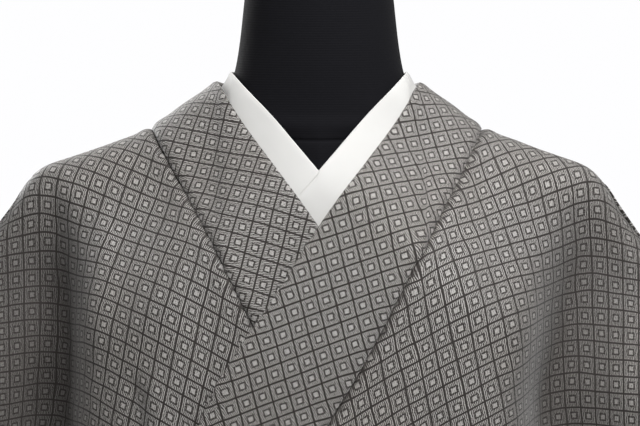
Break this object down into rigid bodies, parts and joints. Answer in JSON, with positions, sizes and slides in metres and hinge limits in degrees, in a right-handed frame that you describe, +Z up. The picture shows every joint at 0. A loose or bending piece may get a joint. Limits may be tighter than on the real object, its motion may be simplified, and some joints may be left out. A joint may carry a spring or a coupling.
{
  "type": "kimono on dress form",
  "caption": "Kimono crossed left over right on a limbless dress form that stands on a pole and a round base.",
  "frame": {"origin": "on the floor, centre of the underside of the stand's round base", "axes": "+Z up, -Y is the garment's front, +X is the wearer's left"},
  "size_m": [0.9056, 0.36, 1.65],
  "materials": {
    "cloth": "woven, matt, dark brown lattice on light grey",
    "white_cloth": "smooth, matt",
    "form_cover": "matt black jersey",
    "stand_metal": "satin black"
  },
  "bodies": {
    "root": {"body_left": "cloth", "body_right": "cloth", "okumi_left": "cloth", "okumi_right": "cloth", "sleeve_left": "cloth", "sleeve_right": "cloth", "collar": "cloth", "inner_collar": "white_cloth", "waist_tie": "cloth", "tie_knot": "cloth", "dress_form": "form_cover", "stand_pole": "stand_metal", "stand_base": "stand_metal"}
  },
  "joints": []
}
